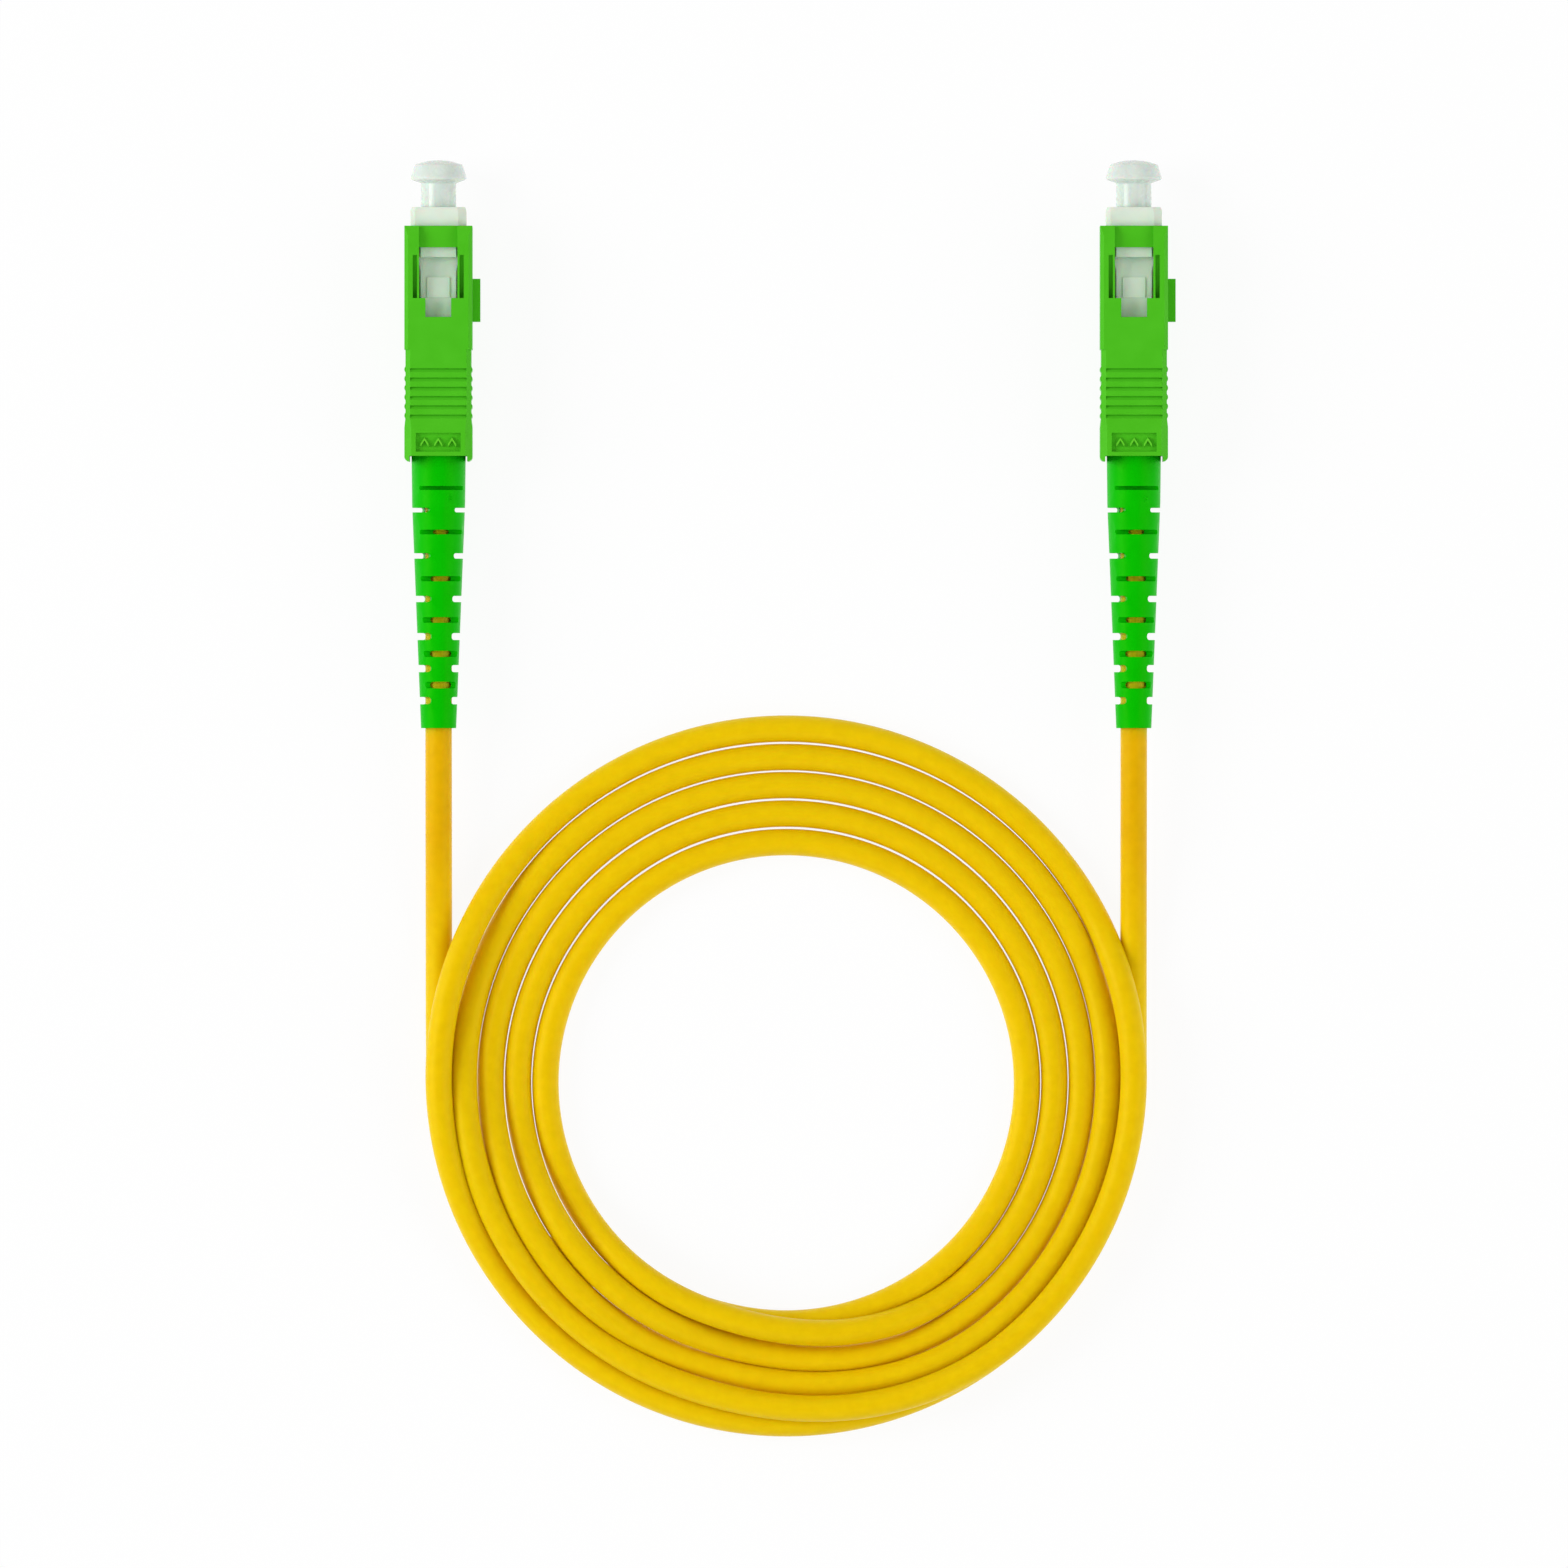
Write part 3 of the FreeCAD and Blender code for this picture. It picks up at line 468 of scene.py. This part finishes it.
def make_piece(name, mesh, slot, body, nodes=(), finish=None):
    """A finished object in metres that takes a slot's material, rides on a body and stands for CAD nodes.

    Its body is None if it rides on no body, and its finish is its slot's unless it is given.
    """
    mesh.materials.clear()
    mesh.materials.append(MATERIALS[finish or slot])
    piece = bpy.data.objects.new(name, mesh)
    bpy.context.scene.collection.objects.link(piece)
    if body:
        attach(piece, body)
    if nodes:
        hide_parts(*nodes)
    return piece


def make_cord():
    """The whole cable as one curve, from the cut end of its jacket in one connector to that in the other."""
    curve = bpy.data.curves.new("patch_cable", "CURVE")
    curve.dimensions = "3D"
    curve.bevel_depth = CORD_R * MM
    curve.bevel_resolution = 8
    curve.resolution_u = 6
    curve.use_fill_caps = True
    route = cord_route()
    spline = curve.splines.new("NURBS")
    spline.points.add(len(route) - 1)
    for point, place in zip(spline.points, route):
        point.co = (*(place * MM), 1)
    spline.order_u = 3
    spline.use_endpoint_u = True
    curve.materials.append(MATERIALS["yellow_jacket"])
    cord = bpy.data.objects.new("patch_cable", curve)
    bpy.context.scene.collection.objects.link(cord)
    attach(cord, "root")
    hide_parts("cord_leg_a", "cord_leg_b", "cord_coil")


def make_shells(end):
    """The pieces that keep their CAD shape, with their edges rounded as a mould or a lathe leaves them."""
    for name, slot, radius, body in (
        ("grip_housing", "green_plastic", 0.09, f"grip_{end}"),
        ("plug_frame", "white_plastic", 0.08, "root"),
        ("boot", "green_rubber", 0.07, "root"),
        ("ferrule", "zirconia", 0.05, f"ferrule_{end}"),
        ("ferrule_flange", "nickel", 0.05, f"ferrule_{end}"),
        ("rear_body", "nickel", 0.02, "root"),
        ("crimp_sleeve", "crimp_metal", 0.05, "root"),
    ):
        node = f"{name}_{end}"
        make_piece(f"{name}_shell_{end}", rounded_mesh(name, node, radius), slot, body, [node])


def cap_swell(angle, radius, y):
    """The dust cap's raised ribs, which run along the outside of its stem."""
    if radius < (CAP_STEM_R + CAP_BORE_R) / 2:
        return 0.0
    pitch = 360 / CAP_RIBS
    away = abs((math.degrees(angle) - CAP_RIB_FIRST + pitch / 2) % pitch - pitch / 2)
    ends = smooth((CAP_RIM_Y - y) / CAP_RIB_RUNOUT) * smooth((y - CAP_STEM_END_Y) / CAP_RIB_RUNOUT)
    return CAP_RIB_RISE * smooth((CAP_RIB_HALF - away) / CAP_RIB_EDGE + 0.5) * ends


def make_dust_cap(end):
    """The dust cap: one turned skin with a ribbed stem, bored to fit on the ferrule."""
    pole_r = 0.01
    line = [(max(r, pole_r), y) for r, y in rounded_profile(CAP_CORNERS)]
    work = bmesh.new()
    skin(work, turned_rings(line, CAP_SEGMENTS, cap_swell))
    mesh = finished_mesh("dust_cap", work, seat(end))
    make_piece(f"dust_cap_shell_{end}", mesh, "cap_plastic", f"cap_{end}", [f"dust_cap_{end}"])


def make_spring(end):
    """The ferrule spring: round wire, with a closed turn at each end."""
    length = SPRING_FRONT_Y - SPRING_REAR_Y
    closed_pitch, open_turns = 2 * WIRE_R, SPRING_TURNS - 2
    open_pitch = (length - 3 * closed_pitch) / open_turns  # less two closed turns and the wire itself
    path = []
    for i in range(SPRING_TURNS * SPRING_STEPS + 1):
        turn = i / SPRING_STEPS
        opened = min(max(turn - 1, 0), open_turns)
        y = SPRING_REAR_Y + WIRE_R + (turn - opened) * closed_pitch + opened * open_pitch
        path.append(Vector((SPRING_R * math.sin(math.tau * turn), y, SPRING_R * math.cos(math.tau * turn))))
    work = bmesh.new()
    skin(work, tube_rings(path, WIRE_R, WIRE_SIDES))
    place = seat(end)
    mesh = finished_mesh("ferrule_spring", work, place)
    spring = make_piece(f"ferrule_spring_coil_{end}", mesh, "spring_steel", "root", [f"ferrule_spring_{end}"])
    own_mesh(spring)


def make_buffered_fibre(end):
    """The buffered fibre, slack enough in the rear body to let the ferrule move back."""
    path = []
    for i in range(BUFFER_STEPS + 1):
        share = i / BUFFER_STEPS
        bow = BUFFER_BOW * math.sin(math.tau * share) * math.sin(math.pi * share)
        path.append(Vector((bow, BUFFER_FRONT_Y + (BUFFER_REAR_Y - BUFFER_FRONT_Y) * share, 0)))
    work = bmesh.new()
    skin(work, tube_rings(path, BUFFER_R, BUFFER_SIDES))
    place = seat(end)
    mesh = finished_mesh("buffered_fibre", work, place)
    fibre = make_piece(f"buffered_fibre_core_{end}", mesh, "buffer_white", None, [f"buffered_fibre_{end}"])
    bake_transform(fibre)


def make_yarn(end):
    """The aramid yarn's strands, laid over the rear body's barrel and gathered into the end of the jacket."""
    draw = random.Random(5)
    work = bmesh.new()
    for strand in range(YARN_STRANDS):
        angle = math.tau * (strand + draw.uniform(-0.2, 0.2)) / YARN_STRANDS
        lean = draw.uniform(-0.12, 0.12)
        inside_r = YARN_INSIDE_R * draw.uniform(0.55, 1.0)
        path = []
        for step in range(STRAND_STEPS + 1):
            share = step / STRAND_STEPS
            y = YARN_FRONT_Y + (YARN_REAR_Y - YARN_FRONT_Y) * share
            gathered = smooth((YARN_GATHER_Y - y) / YARN_GATHER_L)
            reach = YARN_OVER_R + (inside_r - YARN_OVER_R) * gathered
            turn = angle + lean * share
            path.append(Vector((reach * math.sin(turn), y, reach * math.cos(turn))))
        skin(work, tube_rings(path, STRAND_R, STRAND_SIDES))
    mesh = finished_mesh("aramid_yarn", work, seat(end))
    make_piece(f"aramid_yarn_strands_{end}", mesh, "aramid", "root", [f"aramid_yarn_{end}"])


def make_marks(end):
    """The raised marks in the housing's recessed panel, three chevrons that point towards the front."""
    stretch = math.hypot(MARK_HALF_W, MARK_HALF_L) / MARK_HALF_W  # a stroke's width along y over its own
    outline = [(-1, -1, -1), (0, 1, -1), (1, -1, -1), (1, -1, 1), (0, 1, 1), (-1, -1, 1)]
    work = bmesh.new()
    for mark in range(MARKS):
        middle = Vector(((mark - (MARKS - 1) / 2) * MARK_PITCH, MARK_MIDDLE_Y, 0))
        rings = []
        for z, half in ((MARK_BASE_Z, MARK_HALF_STROKE + MARK_DRAFT), (MARK_TOP_Z, MARK_HALF_STROKE)):
            rings.append([middle + Vector((x * MARK_HALF_W, y * MARK_HALF_L + side * half * stretch, z))
                          for x, y, side in outline])
        skin(work, rings)
    mesh = finished_mesh("panel_marks", work, seat(end))
    mesh.shade_flat()
    # the marks' lighter green is a painted highlight
    make_piece(f"panel_marks_{end}", mesh, "green_plastic", f"grip_{end}", finish="raised_mark_highlight")


def make_gate_mark(end):
    """The round mark that the mould's gate leaves on the boot."""
    work = bmesh.new()
    skin(work, turned_rings(rounded_profile(GATE_CORNERS, steps=3), GATE_SEGMENTS))
    upright = Matrix.Rotation(math.radians(90), 4, "X") @ Matrix.Translation((0, GATE_AXIS_DISTANCE, 0))
    onto_boot = Matrix.Rotation(math.radians(GATE_FROM_TOP), 4, "Y") @ upright
    bmesh.ops.transform(work, matrix=onto_boot, verts=work.verts)
    mesh = finished_mesh("gate_mark", work, seat(end) + Vector((0, GATE_Y, 0)))
    make_piece(f"gate_mark_{end}", mesh, "green_rubber", "root")


def make_stage():
    """The floor, a light table just under the cord."""
    work = bmesh.new()
    bmesh.ops.create_grid(work, x_segments=1, y_segments=1, size=FLOOR_HALF)
    mesh = bpy.data.meshes.new("floor")
    work.to_mesh(mesh)
    work.free()
    light_table = Finish("light_table", Base_Color=(0.08, 0.08, 0.08, 1), Roughness=0.9,
                         Specular_IOR_Level=0.1, Emission_Color=(1, 1, 1, 1), Emission_Strength=FLOOR_GLOW)
    mesh.materials.append(light_table.material)
    floor = bpy.data.objects.new("floor", mesh)
    floor.location.z = -FLOOR_DROP * MM
    bpy.context.scene.collection.objects.link(floor)


def finish_nodes():
    """Gives every CAD node its slot's material, which shows on those that no piece replaces."""
    slots = {part["node"]: part["material_slot"] for part in frame["record"]["subparts"]}
    for name, node in frame["nodes"].items():
        node.data.materials.clear()
        node.data.materials.append(MATERIALS[slots[name]])


def make_light(name, place, size, power):
    """A square soft light that faces the middle of the object."""
    data = bpy.data.lights.new(name, "AREA")
    data.shape = "SQUARE"
    data.size = size
    data.energy = power
    light = bpy.data.objects.new(name, data)
    light.location = place
    target = Vector((0, VIEW_CENTRE[1] * MM, 0))
    light.rotation_euler = (target - Vector(place)).to_track_quat("-Z", "Y").to_euler()
    bpy.context.scene.collection.objects.link(light)


def make_lights():
    """Soft studio light from all sides, strongest from the left."""
    world = bpy.data.worlds.new("studio")
    world.use_nodes = True
    world.node_tree.nodes["Background"].inputs["Color"].default_value = (1, 1, 1, 1)
    world.node_tree.nodes["Background"].inputs["Strength"].default_value = WORLD_LIGHT
    bpy.context.scene.world = world
    for light in LIGHTS:
        make_light(*light)
    bpy.context.scene.view_settings.view_transform = "Standard"


make_camera()
MATERIALS = make_materials()
make_cord()

for end in ENDS:
    make_shells(end)
    make_dust_cap(end)
    make_spring(end)
    make_buffered_fibre(end)
    make_yarn(end)
    make_marks(end)
    make_gate_mark(end)

finish_nodes()
make_stage()
make_lights()
